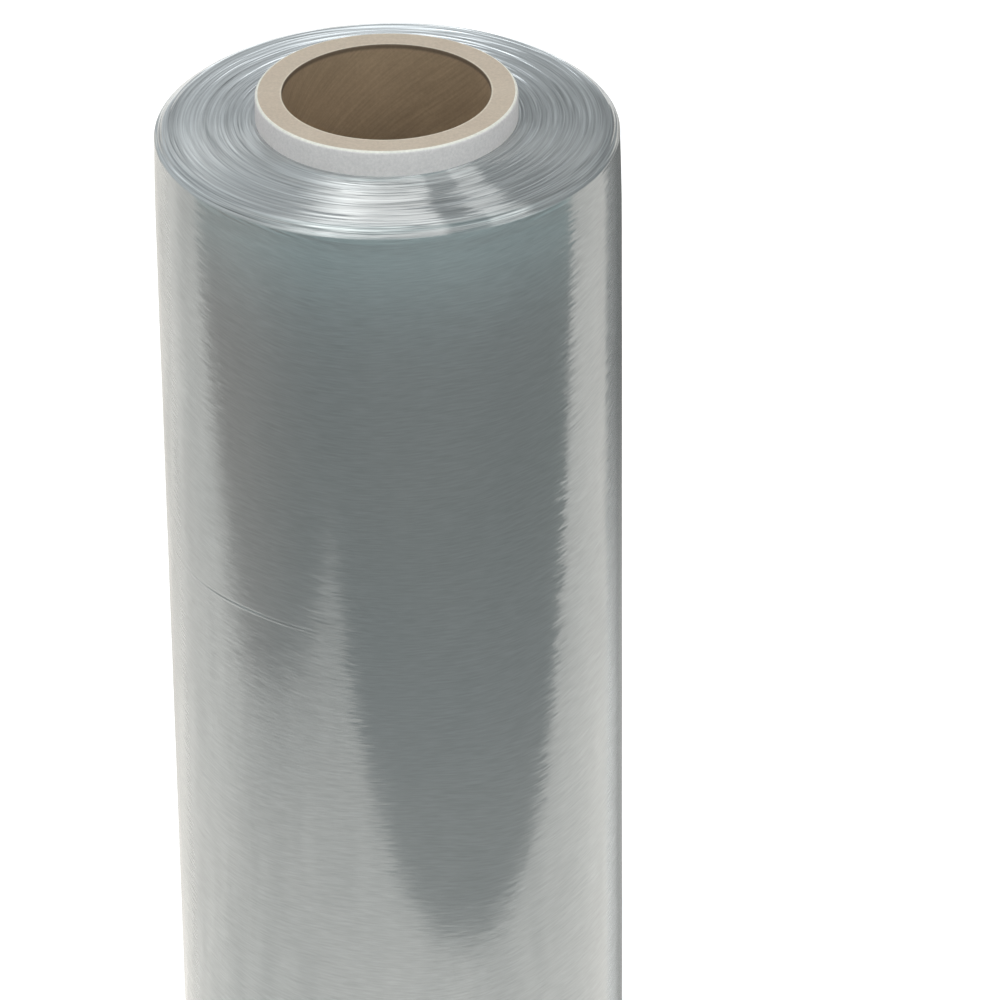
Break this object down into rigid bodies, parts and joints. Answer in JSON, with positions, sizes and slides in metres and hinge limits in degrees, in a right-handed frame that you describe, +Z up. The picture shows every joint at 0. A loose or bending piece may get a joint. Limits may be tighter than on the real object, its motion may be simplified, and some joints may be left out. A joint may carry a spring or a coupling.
{
  "type": "laundry wrap film roll",
  "caption": "Wide roll of clear wrap film wound on a plain paper core that stands proud at both ends, shown standing on its core.",
  "frame": {"origin": "centre of the core's lower end, on the surface that the roll stands on", "axes": "+Z up along the roll's axis, +X and +Y across it; the roll is round, so -Y is only the side that the picture shows"},
  "size_m": [0.1714, 0.1714, 0.477],
  "materials": {
    "film": "gloss",
    "core_board": "matte"
  },
  "bodies": {
    "root": {"film_roll": "film", "core_tube": "core_board"}
  },
  "joints": []
}
